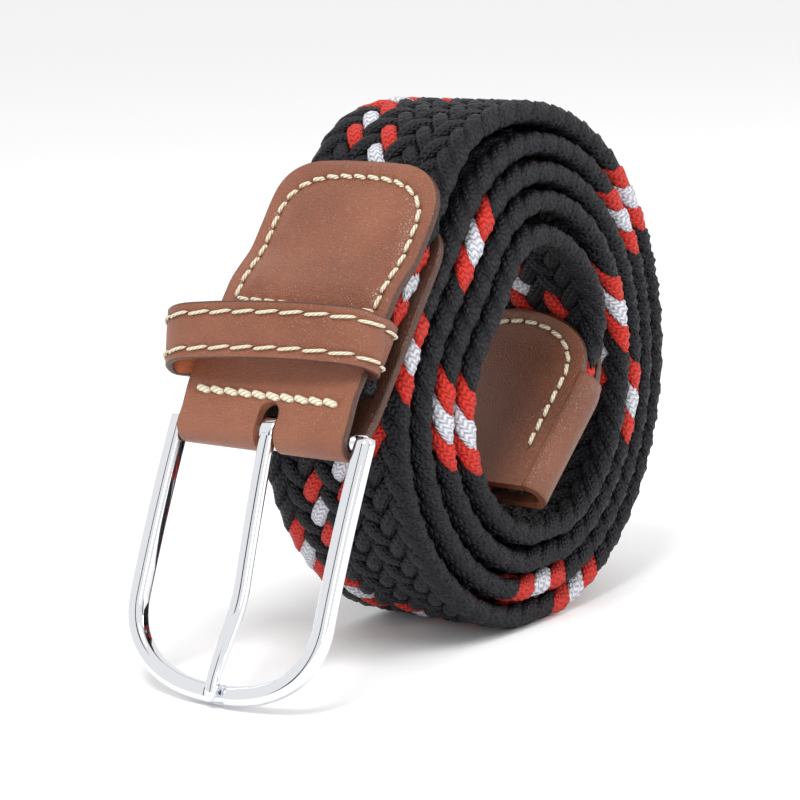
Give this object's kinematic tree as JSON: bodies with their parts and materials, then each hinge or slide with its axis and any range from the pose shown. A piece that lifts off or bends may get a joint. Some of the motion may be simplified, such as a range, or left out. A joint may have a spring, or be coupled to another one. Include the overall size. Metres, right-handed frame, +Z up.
{
  "type": "elastic stretch belt",
  "caption": "Braided elastic belt, rolled up, with leather ends, a leather keeper loop and a rounded pin buckle.",
  "frame": {"origin": "on the floor, on the roll's resting face, under the middle of the roll", "axes": "+Z up, Y along the roll's axis with the belt's front edge at -Y, the buckle at -X"},
  "size_m": [0.1203, 0.0487, 0.0979],
  "materials": {
    "braid": "braided matte cord",
    "leather": "satin, smooth grain",
    "tip_leather": "satin, smooth grain",
    "polished": "polished"
  },
  "bodies": {
    "belt": {"braided_band": "braid", "buckle_tab": "leather", "keeper_loop": "leather", "tip_tab": "tip_leather"},
    "frame": {"buckle_frame": "polished"},
    "prong": {"prong": "polished"}
  },
  "joints": [
    {"name": "frame_hinge", "type": "hinge", "parent": "belt", "child": "frame", "pos_m": [-0.05456, 0, 0.04439], "axis": [0, 1, 0], "range_deg": [-20, 45]},
    {"name": "prong_hinge", "type": "hinge", "parent": "frame", "child": "prong", "pos_m": [-0.05456, 0, 0.04439], "axis": [0, 1, 0], "range_deg": [0, 60]}
  ]
}
